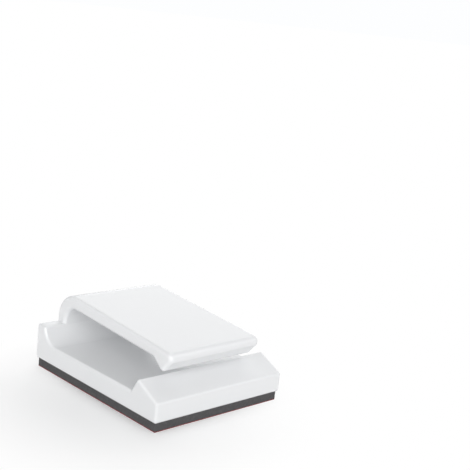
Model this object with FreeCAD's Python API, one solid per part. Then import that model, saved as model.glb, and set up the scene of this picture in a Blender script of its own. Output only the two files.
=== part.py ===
import FreeCAD, Part
import math
import os

# An adhesive cable clip: one moulded body that a flat cable is pressed into,
# on a pad of foam tape that still has its release liner.
# The cable runs along X. The opening faces -Y and the rear wall stands at +Y.
# The origin is the centre of the underside, so the clip stands on z = 0.
# All sizes are in millimetres and all angles in degrees.

# Outline of the moulded body, seen from above
body_length = 12.4          # along the cable
body_depth = 15.0           # from the front face to the rear face

# Tape under the body
liner_thickness = 0.06
foam_thickness = 0.64
tape_inset = 0.17           # the tape is cut this much smaller all round

# Base of the body
floor_thickness = 1.5       # moulding under the channel
front_height = 1.5          # low upright face at the front
lip_setback = 2.32          # from the front face back to the ridge of the lip
lip_height = 1.07           # ridge above the channel's floor
lip_lean = 30.0             # inner face of the lip, from the upright
lip_foot_round = 0.12
ledge_height = 1.3          # ledges beside the arm, above the channel's floor
channel_round = 1.4         # hollow curve from the floor into the rear wall
base_edge_round = 0.2

# Arm that rises from the rear wall and covers the channel
wall_thickness = 1.05
arm_inset = 1.8             # the arm is this much shorter than the body at each end
channel_height = 2.84       # floor to the cover's underside, at the rear wall
cover_fall = 3.7            # slope of the underside, down towards the front
cover_taper = 0.45          # the top falls this much more than the underside
cover_thickness = 1.01      # where the cover joins the rear wall
rear_round = 2.0            # outer curve over the back
bend_round = 1.2            # inner curve under the cover
arm_edge_round = 0.3

# Nose and hook at the cover's front edge
nose_setback = 1.02         # nose behind the body's front face
nose_round = 0.47           # from the top into the upright front of the nose
nose_upright = 0.02         # flat part of that front
chin_round = 0.33           # from the front into the face that leads down to the tip
hook_setback = 0.66         # hook's bend behind the ridge of the lip
hook_slope = 40.4           # inner face of the hook, from the level
hook_bend_round = 0.12
entry_gap = 0.32            # from the ridge up to the tip of the hook
tip_round = 0.32

# Heights of the layers
foam_base = liner_thickness
body_base = foam_base + foam_thickness
floor_level = body_base + floor_thickness
front_level = body_base + front_height
ledge_level = floor_level + ledge_height
ridge_level = floor_level + lip_height

# Places along the depth
front_face = -body_depth / 2
rear_face = body_depth / 2
ridge_line = front_face + lip_setback
inner_wall = rear_face - wall_thickness
nose_front = front_face + nose_setback

arm_length = body_length - 2 * arm_inset

# Faces that meet at less than this run on smoothly, and their joint needs no rounding
smooth_joint = 5.0


def slope(degrees):
    """Rise over run of a face that stands at this angle to the level."""
    return math.tan(math.radians(degrees))


def rounded_outline(corners):
    """Closed wire in the YZ plane through corners (y, z, radius), each rounded to its radius."""
    points = [FreeCAD.Vector(0, y, z) for y, z, radius in corners]
    radii = [radius for y, z, radius in corners]
    starts = []
    ends = []
    middles = []
    for number, corner in enumerate(points):
        before = (points[number - 1] - corner).normalize()
        after = (points[(number + 1) % len(points)] - corner).normalize()
        half_angle = before.getAngle(after) / 2
        reach = radii[number] / math.tan(half_angle)
        inward = (before + after).normalize()
        depth = radii[number] / math.sin(half_angle) - radii[number]
        starts.append(corner + before * reach)
        ends.append(corner + after * reach)
        middles.append(corner + inward * depth)
    edges = []
    for number, radius in enumerate(radii):
        if radius > 0:
            edges.append(Part.Arc(starts[number], middles[number], ends[number]).toShape())
        edges.append(Part.LineSegment(ends[number], starts[(number + 1) % len(points)]).toShape())
    return Part.Wire(edges)


def extrude_across(corners, length):
    """Solid of this outline, centred on x = 0 and as long as asked along the cable."""
    section = Part.Face(rounded_outline(corners))
    section.translate(FreeCAD.Vector(-length / 2, 0, 0))
    return section.extrude(FreeCAD.Vector(length, 0, 0))


def sharp_edges(solid):
    """Edges where two faces meet at an angle, which leaves out those where they run on smoothly."""
    found = []
    for edge in solid.Edges:
        middle = edge.valueAt((edge.FirstParameter + edge.LastParameter) / 2)
        faces = solid.ancestorsOfType(edge, Part.Face)
        normals = [face.normalAt(*face.Surface.parameter(middle)) for face in faces]
        if math.degrees(normals[0].getAngle(normals[-1])) > smooth_joint:
            found.append(edge)
    return found


def tape_layer(base, thickness):
    """One square-cut layer of the tape, set in from the body all round."""
    length = body_length - 2 * tape_inset
    depth = body_depth - 2 * tape_inset
    return Part.makeBox(length, depth, thickness, FreeCAD.Vector(-length / 2, -depth / 2, base))


def base_block():
    """Base with its front slope, before the channel is cut through it."""
    rise = (ridge_level - front_level) / lip_setback
    crest = front_face + (ledge_level - front_level) / rise
    corners = [
        (rear_face, body_base, 0),
        (rear_face, ledge_level, 0),
        (crest, ledge_level, 0),
        (front_face, front_level, 0),
        (front_face, body_base, 0),
    ]
    return extrude_across(corners, body_length)


def channel_cutter():
    """Space that the cable lies in: flat floor, hollow rear curve and leaning lip."""
    lean = slope(90 - lip_lean)
    lip_foot = ridge_line + lip_height / lean
    top = floor_level + channel_height
    corners = [
        (lip_foot, floor_level, lip_foot_round),
        (inner_wall, floor_level, channel_round),
        (inner_wall, top, 0),
        (lip_foot - channel_height / lean, top, 0),
    ]
    return extrude_across(corners, 2 * body_length)


def moulded_base():
    """Base with ledge, lip and channel, and every outer edge softly rounded."""
    base = base_block().cut(channel_cutter())
    return base.makeFillet(base_edge_round, sharp_edges(base))


def meet(first, first_angle, second, second_angle):
    """Corner (y, z) where two straight faces meet, each given by a point and its angle to the level."""
    across = second[0] - first[0]
    up = second[1] - first[1]
    turn = math.sin(second_angle - first_angle)
    run = (across * math.sin(second_angle) - up * math.cos(second_angle)) / turn
    return first[0] + run * math.cos(first_angle), first[1] + run * math.sin(first_angle)


def arm_corners():
    """Section of the arm: up the rear wall, over the channel and down to the hooked nose."""
    under_angle = math.radians(cover_fall)
    top_angle = math.radians(cover_fall + cover_taper)
    hook_angle = math.radians(hook_slope)
    root = floor_level + ledge_height / 2

    # Underside and top of the cover, from the rear wall forward
    under_rear = (inner_wall, floor_level + channel_height)
    top_rear = (inner_wall, under_rear[1] + cover_thickness)
    bend_y = ridge_line + hook_setback
    bend = (bend_y, under_rear[1] - (inner_wall - bend_y) * math.tan(under_angle))

    # Centres of the rounded tip and of the chin below the nose's upright front
    tip_z = ridge_level + entry_gap + tip_round
    tip_y = bend[0] - (tip_round + (bend[1] - tip_z) * math.cos(hook_angle)) / math.sin(hook_angle)
    top_fall = (inner_wall - nose_front - nose_round) * math.tan(top_angle)
    chin_z = top_rear[1] - top_fall - nose_round / math.cos(top_angle) - nose_upright
    chin_y = nose_front + chin_round

    # Lower face of the nose, which touches the rounds of the chin and the tip
    apart = math.hypot(chin_y - tip_y, chin_z - tip_z)
    face_angle = math.atan2(chin_z - tip_z, chin_y - tip_y) + math.asin((chin_round - tip_round) / apart)
    face = (tip_y - tip_round * math.sin(face_angle), tip_z + tip_round * math.cos(face_angle))

    upright = math.pi / 2
    rear_corner = meet(top_rear, top_angle, (rear_face, root), upright)
    nose_corner = meet(top_rear, top_angle, (nose_front, chin_z), upright)
    chin_corner = meet((nose_front, chin_z), upright, face, face_angle)
    tip_corner = meet(bend, hook_angle, face, face_angle)
    return [
        (rear_face, root, 0),
        (*rear_corner, rear_round),
        (*nose_corner, nose_round),
        (*chin_corner, chin_round),
        (*tip_corner, tip_round),
        (*bend, hook_bend_round),
        (*under_rear, bend_round),
        (inner_wall, root, 0),
    ]


def moulded_arm():
    """Arm with the edges of both ends rounded, by less than the tightest round of its section."""
    arm = extrude_across(arm_corners(), arm_length)
    tightest = min(nose_round, chin_round, tip_round)
    return arm.makeFillet(min(arm_edge_round, 0.95 * tightest), sharp_edges(arm))


def clip_body():
    """The whole moulding as one solid."""
    body = moulded_base().fuse(moulded_arm())
    return body.removeSplitter().Solids[0]


def foam_pad():
    return tape_layer(foam_base, foam_thickness)


def release_liner():
    return tape_layer(0, liner_thickness)


pieces = {
    "clip_body": clip_body,
    "foam_pad": foam_pad,
    "release_liner": release_liner,
}

os.makedirs("parts", exist_ok=True)
for name, make in pieces.items():
    shape = make()
    shape.exportStep("parts/" + name + ".step")
    box = shape.BoundBox
    print(name, "solids", len(shape.Solids), "valid", shape.isValid(), "volume", round(shape.Volume, 2),
          "size", round(box.XLength, 2), round(box.YLength, 2), round(box.ZLength, 2), "top", round(box.ZMax, 2))
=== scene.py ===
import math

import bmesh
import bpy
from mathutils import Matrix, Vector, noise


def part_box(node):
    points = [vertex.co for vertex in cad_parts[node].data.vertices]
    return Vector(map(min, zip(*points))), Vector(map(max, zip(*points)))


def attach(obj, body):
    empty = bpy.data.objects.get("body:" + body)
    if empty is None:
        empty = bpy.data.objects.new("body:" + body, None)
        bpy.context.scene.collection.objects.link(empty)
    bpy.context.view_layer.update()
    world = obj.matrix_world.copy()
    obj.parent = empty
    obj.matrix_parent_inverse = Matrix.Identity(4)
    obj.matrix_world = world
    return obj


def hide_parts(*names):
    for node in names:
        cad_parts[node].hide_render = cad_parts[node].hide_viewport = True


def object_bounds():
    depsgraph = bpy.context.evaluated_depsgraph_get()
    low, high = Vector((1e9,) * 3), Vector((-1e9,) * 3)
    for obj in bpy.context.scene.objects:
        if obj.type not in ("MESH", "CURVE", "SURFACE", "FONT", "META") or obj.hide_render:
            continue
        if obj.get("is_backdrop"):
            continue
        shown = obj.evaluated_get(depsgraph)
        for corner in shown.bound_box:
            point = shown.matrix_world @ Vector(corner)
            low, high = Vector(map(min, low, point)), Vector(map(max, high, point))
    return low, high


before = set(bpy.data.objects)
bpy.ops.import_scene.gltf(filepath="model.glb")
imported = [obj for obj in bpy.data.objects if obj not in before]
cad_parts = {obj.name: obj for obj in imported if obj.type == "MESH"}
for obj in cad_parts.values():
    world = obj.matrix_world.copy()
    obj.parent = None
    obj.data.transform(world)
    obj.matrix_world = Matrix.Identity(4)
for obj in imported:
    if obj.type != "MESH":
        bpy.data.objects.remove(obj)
cad_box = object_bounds()

# %% [markdown]
# # A white cable clip on foam tape
#
# This lesson dresses a small moulded clip, about 15 mm deep, for its portrait.
# The real thing is three pieces: a white plastic moulding, a pad of dark foam
# tape that is stuck under it, and the thin red film that still covers the glue.
# What is left is what the eye reads first: where the camera stands, how soft
# the light is, how the plastic shines, and how a cut edge of foam or film
# really looks.
#
# Everything is in metres, so a millimetre gets a name before anything else.

MM = 0.001

for piece_name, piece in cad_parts.items():
    low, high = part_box(piece_name)
    size = ", ".join(f"{side / MM:.2f}" for side in high - low)
    print(f"{piece_name}: {size} mm, {len(piece.data.polygons)} faces")

# %% [markdown]
# ## Where the camera stands
#
# A thing this small is photographed from close by, so its far corners look
# clearly smaller than its near ones. That pull is part of the picture, and it
# depends only on how far away the camera is. The distance and the angles here
# were found by matching the clip's own straight edges, and they are kept as
# plain values: a place, and three turns. The first turn picks the side that we
# look from, the second looks down a little, and the last one tips the frame.

# %% Camera
CAMERA_PLACE = Vector((-47.44, -54.31, 28.32)) * MM
CAMERA_HEADING = -45.12
CAMERA_DOWN = 12.43
CAMERA_TIP = 6.15
LENS = 74.4


def turn(degrees, axis):
    """Rotation about one axis, as a matrix."""
    return Matrix.Rotation(math.radians(degrees), 4, axis)


camera_data = bpy.data.cameras.new("portrait_camera")
camera_data.sensor_width = 36.0
camera_data.lens = LENS
camera_data.clip_start = 1 * MM
camera_data.clip_end = 100.0
camera = bpy.data.objects.new("portrait_camera", camera_data)
looking = turn(CAMERA_HEADING, "Z") @ turn(90 - CAMERA_DOWN, "X") @ turn(CAMERA_TIP, "Z")
camera.matrix_world = Matrix.Translation(CAMERA_PLACE) @ looking
bpy.context.scene.collection.objects.link(camera)
bpy.context.scene.camera = camera
bpy.context.scene.view_settings.view_transform = "Standard"
print("camera", round(CAMERA_PLACE.length / MM), "mm from the clip, lens", LENS)

# %% [markdown]
# ## A white table that doesn't burn the clip out
#
# The table in the picture is pure white, with a shallow shadow round the clip.
# Turning the lamps up until an ordinary white floor looks like that would wash
# out the white plastic too. So the floor is white in another way. For the rays
# that look at it, the Light Path node gives it a colour that comes out just
# white at this level of light, and that still takes the shadow. Light that
# bounces from the floor into the clip comes from a plain pale surface instead.
# Gloss counts as looking too, so that shiny pieces mirror the same white table.
#
# The shadow lies mostly to the left and in front, and far away no lamp reaches.
# So a plain glow of strength 1, which is exactly white, takes over from the
# lit surface by the distance from the spot where the shadow is deepest. This
# glow is painted light: it lights the floor up all round that spot, and so it
# also hides the real shadow on the other sides of the clip.

# %% Rays that see a white background
def seeing_rays(tree):
    """A socket that is 1 for rays that look at the background or mirror it, and 0 for all other light."""
    path = tree.nodes.new("ShaderNodeLightPath")
    either = tree.nodes.new("ShaderNodeMath")
    either.operation = "MAXIMUM"
    tree.links.new(path.outputs["Is Camera Ray"], either.inputs[0])
    tree.links.new(path.outputs["Is Glossy Ray"], either.inputs[1])
    all_three = tree.nodes.new("ShaderNodeMath")
    all_three.operation = "MAXIMUM"
    tree.links.new(either.outputs[0], all_three.inputs[0])
    tree.links.new(path.outputs["Is Transmission Ray"], all_three.inputs[1])
    return all_three.outputs[0]


# %% Table
TABLE_HALF = 40.0
TABLE_COLOUR = 0.92
TABLE_SEEN = 1.12
DEEPEST_SHADOW = Vector((-5, -2, 0)) * MM
GLOW_STARTS = 2 * MM
GLOW_FULL = 15 * MM


def white_table():
    """Pale matt surface for the light, just white for the eye, and a plain white glow far away."""
    material = bpy.data.materials.new("white_table")
    material.use_nodes = True
    tree = material.node_tree
    tree.nodes.clear()
    seen = seeing_rays(tree)
    colour = tree.nodes.new("ShaderNodeMapRange")
    colour.inputs["To Min"].default_value = TABLE_COLOUR
    colour.inputs["To Max"].default_value = TABLE_SEEN
    tree.links.new(seen, colour.inputs["Value"])
    surface = tree.nodes.new("ShaderNodeBsdfDiffuse")
    tree.links.new(colour.outputs["Result"], surface.inputs["Color"])
    glow = tree.nodes.new("ShaderNodeEmission")
    distance = tree.nodes.new("ShaderNodeVectorMath")
    distance.operation = "DISTANCE"
    distance.inputs[1].default_value = DEEPEST_SHADOW
    tree.links.new(tree.nodes.new("ShaderNodeTexCoord").outputs["Object"], distance.inputs[0])
    # Painted light: the glow rises with the distance from the deepest shadow, lighting the floor up and
    # fading the real shadow away from that spot.
    rise = tree.nodes.new("ShaderNodeMapRange")
    rise.interpolation_type = "SMOOTHSTEP"
    rise.inputs["From Min"].default_value = GLOW_STARTS
    rise.inputs["From Max"].default_value = GLOW_FULL
    tree.links.new(distance.outputs["Value"], rise.inputs["Value"])
    share = tree.nodes.new("ShaderNodeMath")
    share.operation = "MULTIPLY"
    tree.links.new(seen, share.inputs[0])
    tree.links.new(rise.outputs["Result"], share.inputs[1])
    blend = tree.nodes.new("ShaderNodeMixShader")
    tree.links.new(share.outputs[0], blend.inputs["Fac"])
    tree.links.new(surface.outputs[0], blend.inputs[1])
    tree.links.new(glow.outputs[0], blend.inputs[2])
    out = tree.nodes.new("ShaderNodeOutputMaterial")
    tree.links.new(blend.outputs[0], out.inputs["Surface"])
    return material


table_mesh = bpy.data.meshes.new("table")
corners = [(-1, -1), (1, -1), (1, 1), (-1, 1)]
table_points = [(TABLE_HALF * x, TABLE_HALF * y, 0) for x, y in corners]
table_mesh.from_pydata(table_points, [], [(0, 1, 2, 3)])
table_mesh.materials.append(white_table())
table = bpy.data.objects.new("table", table_mesh)
bpy.context.scene.collection.objects.link(table)
table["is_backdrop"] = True
print("table", 2 * TABLE_HALF, "m wide, so its far edge lies behind the horizon")

# %% [markdown]
# ## Soft light from a white room
#
# The clip was lit as small white goods usually are: a white surround, which
# fills every hollow, and a few large soft panels. We can read the panels from
# the rounded edges. An edge lights up where its surface turns towards a panel,
# and here the upright front edge is bright over its whole width. So the main
# panel is a wide one, low behind the camera. Two small ones draw the lines at
# the slope's left end and along its foot: a mirror that leans as each of those
# edges does would show us the left panel, or the right one. The top and the
# right end of the slope catch a wide glow from behind on the right, and a small
# one comes from high above it.
#
# A panel's `energy` is for its whole area. Worked out from the brightness that
# we want, it doesn't change when the panel gets larger or moves away.

# %% World
SURROUND = 0.34
SURROUND_SEEN = 1.0
SURROUND_COLOUR = (0.985, 0.992, 1.0, 1.0)
surround = bpy.data.worlds.new("white_surround")
surround.use_nodes = True
bpy.context.scene.world = surround
air = surround.node_tree
backdrop = air.nodes["Background"]
backdrop.inputs["Color"].default_value = SURROUND_COLOUR
strength = air.nodes.new("ShaderNodeMapRange")
strength.inputs["To Min"].default_value = SURROUND
strength.inputs["To Max"].default_value = SURROUND_SEEN
air.links.new(seeing_rays(air), strength.inputs["Value"])
air.links.new(strength.outputs["Result"], backdrop.inputs["Strength"])
print("surround lights at", SURROUND, "and looks white")

# %% Panels
PANEL_DISTANCE = 400 * MM


def soft_panel(name, heading, height, width, tall, brightness):
    """A white panel in this direction, this wide and tall as seen from the clip, all in degrees."""
    data = bpy.data.lights.new(name, "AREA")
    data.shape = "RECTANGLE"
    data.size = 2 * PANEL_DISTANCE * math.tan(math.radians(width / 2))
    data.size_y = 2 * PANEL_DISTANCE * math.tan(math.radians(tall / 2))
    data.energy = brightness * math.pi * data.size * data.size_y
    towards = turn(heading, "Z") @ turn(-height, "Y") @ Vector((1, 0, 0))
    panel = bpy.data.objects.new(name, data)
    panel.location = PANEL_DISTANCE * towards
    panel.rotation_euler = (-towards).to_track_quat("-Z", "Y").to_euler()
    panel.visible_camera = False
    bpy.context.scene.collection.objects.link(panel)
    print(f"{name}: {data.size / MM:.0f} by {data.size_y / MM:.0f} mm, {data.energy:.3f} W")


soft_panel("front_panel", heading=228, height=24, width=80, tall=44, brightness=1.97)
soft_panel("left_panel", heading=165, height=49, width=20, tall=20, brightness=0.9)
soft_panel("right_panel", heading=314, height=28, width=20, tall=20, brightness=1.4)
soft_panel("back_panel", heading=28, height=22, width=56, tall=44, brightness=0.75)
soft_panel("high_panel", heading=45, height=58, width=28, tall=28, brightness=1.2)

# %% [markdown]
# ## Bits that every finish shares
#
# All three finishes start from the same shader and the same coordinates. The
# coordinates are the object's own, in metres, so a pattern of 0.1 mm needs a
# scale of 10000. Five small helpers keep the finishes short. They start a
# material, lay a noise of a given grain size, stretch its values, mix two
# colours by it, and press it into the surface.

# %% Helpers for the finishes
def new_finish(name):
    """A material with its node tree, its main shader and the object's own coordinates."""
    material = bpy.data.materials.new(name)
    material.use_nodes = True
    tree = material.node_tree
    shader = tree.nodes["Principled BSDF"]
    place = tree.nodes.new("ShaderNodeTexCoord").outputs["Object"]
    return material, tree, shader, place


def grain(tree, place, size, detail=2.0):
    """Noise whose blotches are about this large, as a socket from 0 to 1."""
    texture = tree.nodes.new("ShaderNodeTexNoise")
    texture.inputs["Scale"].default_value = 1 / size
    texture.inputs["Detail"].default_value = detail
    tree.links.new(place, texture.inputs["Vector"])
    return texture.outputs["Fac"]


def between(tree, value, low, high):
    """The same value, stretched from 0..1 to low..high."""
    stretch = tree.nodes.new("ShaderNodeMapRange")
    stretch.inputs["To Min"].default_value = low
    stretch.inputs["To Max"].default_value = high
    tree.links.new(value, stretch.inputs["Value"])
    return stretch.outputs["Result"]


def mixed(tree, factor, first, second):
    """A colour that goes from the first to the second as the factor goes from 0 to 1."""
    mix = tree.nodes.new("ShaderNodeMix")
    mix.data_type = "RGBA"
    mix.inputs["A"].default_value = first
    mix.inputs["B"].default_value = second
    tree.links.new(factor, mix.inputs["Factor"])
    return mix.outputs["Result"]


def relief(tree, height, depth, under=None):
    """A bump of this depth in metres, on top of another bump if there is one."""
    bump = tree.nodes.new("ShaderNodeBump")
    bump.inputs["Distance"].default_value = depth
    tree.links.new(height, bump.inputs["Height"])
    if under is not None:
        tree.links.new(under, bump.inputs["Normal"])
    return bump.outputs["Normal"]


# %% [markdown]
# ## White moulded plastic
#
# The body is one injection moulding in white. Such plastic isn't a mirror and
# isn't chalk: its polished steel mould leaves a soft gloss, with a very shallow
# ripple, called orange peel, and a grain too fine to see as dots. The grain
# only breaks the reflections a little. The white itself is a touch cool, and it
# is never quite even, because the melt flows and cools unevenly.
#
# We could paint the bright lines on the edges, but they are not in the colour.
# The edges are rounded in the model, and the gloss finds the panels there by
# itself, so the lines stay right when the clip is turned.

# %% White plastic
WHITE_WARM = (0.862, 0.868, 0.876, 1.0)
WHITE_COOL = (0.872, 0.880, 0.892, 1.0)
FLOW_MARK = 4 * MM
GLOSS_PATCH = 1.5 * MM
PLASTIC_ROUGHNESS = (0.17, 0.25)
PLASTIC_SHEEN = 0.85
ORANGE_PEEL = 0.9 * MM
PEEL_DEPTH = 0.0015 * MM
MOULD_GRAIN = 0.05 * MM
GRAIN_DEPTH = 0.0006 * MM


def white_plastic():
    """Softly glossy moulded white, with orange peel, a fine grain and a faint unevenness."""
    material, tree, shader, place = new_finish("white_plastic")
    tint = mixed(tree, grain(tree, place, FLOW_MARK), WHITE_WARM, WHITE_COOL)
    tree.links.new(tint, shader.inputs["Base Color"])
    roughness = between(tree, grain(tree, place, GLOSS_PATCH), *PLASTIC_ROUGHNESS)
    tree.links.new(roughness, shader.inputs["Roughness"])
    shader.inputs["Specular IOR Level"].default_value = PLASTIC_SHEEN
    peel = relief(tree, grain(tree, place, ORANGE_PEEL), PEEL_DEPTH)
    fine = relief(tree, grain(tree, place, MOULD_GRAIN, 1.0), GRAIN_DEPTH, peel)
    tree.links.new(fine, shader.inputs["Normal"])
    return material


clip_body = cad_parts["clip_body"]
body_finish = white_plastic()
for holder in clip_body.material_slots:
    holder.material = body_finish
print("body wears", body_finish.name)

# %% [markdown]
# ## Layers cut from a roll
#
# Foam tape and its film are stamped out of a roll together. A stamped edge is
# never a perfect straight line: it wanders by a hundredth of a millimetre or
# so, and its corners come out very slightly round. A cube with a bevel would
# look too clean for that. So we walk round the outline in small even steps,
# note at each step which way is out, and then build the side wall row by row. A
# wall that is made this way can be pushed in and out point by point.

# %% Walk round a cut outline
def cut_outline(low, high, corner, step):
    """Points (x, y) round a rectangle with round corners, each with the way out, in even steps."""
    points = []
    centres = [
        (high.x - corner, high.y - corner, 0),
        (low.x + corner, high.y - corner, 90),
        (low.x + corner, low.y + corner, 180),
        (high.x - corner, low.y + corner, 270),
    ]
    arc_steps = max(3, round(corner * math.pi / 2 / step))
    for number, (x, y, start) in enumerate(centres):
        for part in range(arc_steps + 1):
            angle = math.radians(start + 90 * part / arc_steps)
            out = Vector((math.cos(angle), math.sin(angle)))
            points.append((Vector((x, y)) + corner * out, out))
        here, out = points[-1]
        next_x, next_y, next_start = centres[(number + 1) % 4]
        there = Vector((next_x, next_y)) + corner * out
        run_steps = max(1, round((there - here).length / step))
        for part in range(1, run_steps):
            points.append((here.lerp(there, part / run_steps), out))
    return points


# %% Build a layer from its outline
def cut_layer(name, outline, levels, offset):
    """Closed mesh of one layer. Its side wall has a row at each level, moved out by the offset there."""
    mesh = bpy.data.meshes.new(name)
    shape = bmesh.new()
    rows = []
    for level in levels:
        row = []
        for point, out in outline:
            moved = point + offset(point, level) * out
            row.append(shape.verts.new((moved.x, moved.y, level)))
        rows.append(row)
    count = len(outline)
    for lower, upper in zip(rows, rows[1:]):
        for number in range(count):
            after = (number + 1) % count
            shape.faces.new((lower[number], lower[after], upper[after], upper[number]))
    shape.faces.new(list(reversed(rows[0])))
    shape.faces.new(rows[-1])
    wall_faces = count * (len(levels) - 1)
    shape.faces.ensure_lookup_table()
    for number in range(wall_faces):
        shape.faces[number].smooth = True
    bmesh.ops.triangulate(shape, faces=shape.faces[wall_faces:])
    shape.to_mesh(mesh)
    shape.free()
    piece = bpy.data.objects.new(name, mesh)
    bpy.context.scene.collection.objects.link(piece)
    print(f"{name}: {count} steps round, {len(levels)} rows, {len(mesh.polygons)} faces")
    return piece


# %% [markdown]
# ## The foam pad
#
# The tape is closed-cell foam: a dark plastic full of tiny sealed bubbles. The
# die slices through the bubbles, so the cut side is a honeycomb of shallow
# bowls with thin walls between them. Bump alone would leave the pad's outline
# ruler straight, and it is the outline that gives a cut edge away. The bowls
# here are real: each point asks how near the two closest bubbles are. Where
# both are about as near, it lies on a wall and stays out, and elsewhere it
# sinks in. A slow wave on top lets the whole edge wander.

# %% Foam shape
CELL = 0.16 * MM
CELL_DEPTH = 0.015 * MM
CELL_WALL = 0.35
EDGE_WANDER = 0.008 * MM
WANDER_LENGTH = 2.5 * MM
FOAM_STEP = 0.035 * MM
FOAM_CORNER = 0.04 * MM


def wander(point, level):
    """How far a stamped edge strays here, never further out than the clean cut."""
    return EDGE_WANDER * (noise.noise(Vector((point.x, point.y, level)) / WANDER_LENGTH) - 1)


def cut_cells(point, level):
    """Stray of the cut and the bowl of a sliced bubble together."""
    distances, centres = noise.voronoi(Vector((point.x, point.y, level)) / CELL)
    inward = min(1.0, (distances[1] - distances[0]) / CELL_WALL)
    bowl = inward * inward * (3 - 2 * inward)
    return wander(point, level) - CELL_DEPTH * bowl


def levels_between(low, high, step):
    """Heights from low to high in even steps."""
    count = max(1, round((high - low) / step))
    return [low + (high - low) * number / count for number in range(count + 1)]


foam_low, foam_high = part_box("foam_pad")
foam_outline = cut_outline(foam_low, foam_high, FOAM_CORNER, FOAM_STEP)
foam_levels = levels_between(foam_low.z, foam_high.z, FOAM_STEP)
foam = cut_layer("cut_foam_pad", foam_outline, foam_levels, cut_cells)

# %% [markdown]
# Foam drinks light: every bowl shades itself, so the grey looks deeper than the
# plastic that it is made of. The finish has a dull surface with almost no
# gloss, cells that differ a little in tone, and the finest pores as bump,
# because they are too small to be worth points in the mesh.

# %% Foam finish
FOAM_DARK = (0.070, 0.069, 0.071, 1.0)
FOAM_LIGHT = (0.112, 0.109, 0.111, 1.0)
TONE_PATCH = 0.5
FOAM_ROUGHNESS = (0.8, 0.95)
FOAM_SHEEN = 0.3
PORE = 0.04 * MM
PORE_DEPTH = 0.006 * MM


def grey_foam():
    """Dull dark grey with a tone of its own in each cell, and pores between."""
    material, tree, shader, place = new_finish("grey_foam")
    cells = tree.nodes.new("ShaderNodeTexVoronoi")
    cells.inputs["Scale"].default_value = 1 / CELL
    tree.links.new(place, cells.inputs["Vector"])
    tone = mixed(tree, grain(tree, cells.outputs["Color"], TONE_PATCH), FOAM_DARK, FOAM_LIGHT)
    tree.links.new(tone, shader.inputs["Base Color"])
    roughness = between(tree, grain(tree, place, CELL), *FOAM_ROUGHNESS)
    tree.links.new(roughness, shader.inputs["Roughness"])
    shader.inputs["Specular IOR Level"].default_value = FOAM_SHEEN
    tree.links.new(relief(tree, grain(tree, place, PORE), PORE_DEPTH), shader.inputs["Normal"])
    return material


foam.data.materials.append(grey_foam())
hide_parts("foam_pad")
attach(foam, "root")
print("foam is", round((foam_high.z - foam_low.z) / MM, 2), "mm thick")

# %% [markdown]
# ## The red release film
#
# Under the foam lies the film that is peeled off before use. From the side it
# is only a fine red line, with a pink blush on the white table beside it. The
# film is far too thin to show cells, so it needs few points: one row low, one
# high, and one between them that stands out by a hair, which gives the cut edge
# a soft middle for the light to catch.

# %% Film shape
FILM_STEP = 0.12 * MM
FILM_CORNER = 0.04 * MM
FILM_EDGE = 0.006 * MM

film_low, film_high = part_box("release_liner")
film_middle = (film_low.z + film_high.z) / 2


def film_edge(point, level):
    """Stray of the cut, with the middle of the edge a little further out."""
    lip = 0 if level == film_middle else FILM_EDGE
    return wander(point, 0) - lip


film_outline = cut_outline(film_low, film_high, FILM_CORNER, FILM_STEP)
film_levels = [film_low.z, film_middle, film_high.z]
film = cut_layer("red_release_film", film_outline, film_levels, film_edge)

# %% Film finish
FILM_RED = (0.30, 0.042, 0.050, 1.0)
FILM_DEEP = (0.22, 0.028, 0.036, 1.0)
FILM_ROUGHNESS = (0.18, 0.3)
DRAW_LINES = 0.3 * MM
DRAW_STRETCH = 20
DRAW_DEPTH = 0.001 * MM


def red_film():
    """Glossy red plastic film, streaked along one way by the rollers that drew it."""
    material, tree, shader, place = new_finish("red_film")
    along = tree.nodes.new("ShaderNodeMapping")
    along.inputs["Scale"].default_value = (1 / DRAW_STRETCH, 1.0, 1.0)
    tree.links.new(place, along.inputs["Vector"])
    streaks = grain(tree, along.outputs["Vector"], DRAW_LINES)
    tree.links.new(mixed(tree, streaks, FILM_RED, FILM_DEEP), shader.inputs["Base Color"])
    tree.links.new(between(tree, streaks, *FILM_ROUGHNESS), shader.inputs["Roughness"])
    tree.links.new(relief(tree, streaks, DRAW_DEPTH), shader.inputs["Normal"])
    return material


film.data.materials.append(red_film())
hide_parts("release_liner")
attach(film, "root")
print("film is", round((film_high.z - film_low.z) / MM, 2), "mm thick")

# %% [markdown]
# ## The size, once more
#
# The box was noted before any work. Now the box of what stands here is taken
# too, and the print says by how much each corner has moved.

# %% Size and finish
dressed_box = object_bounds()
for side, bare, dressed in zip(("low", "high"), cad_box, dressed_box):
    moved = [round((now - before) / MM, 3) for before, now in zip(bare, dressed)]
    print(side, "corner moved by", moved, "mm")
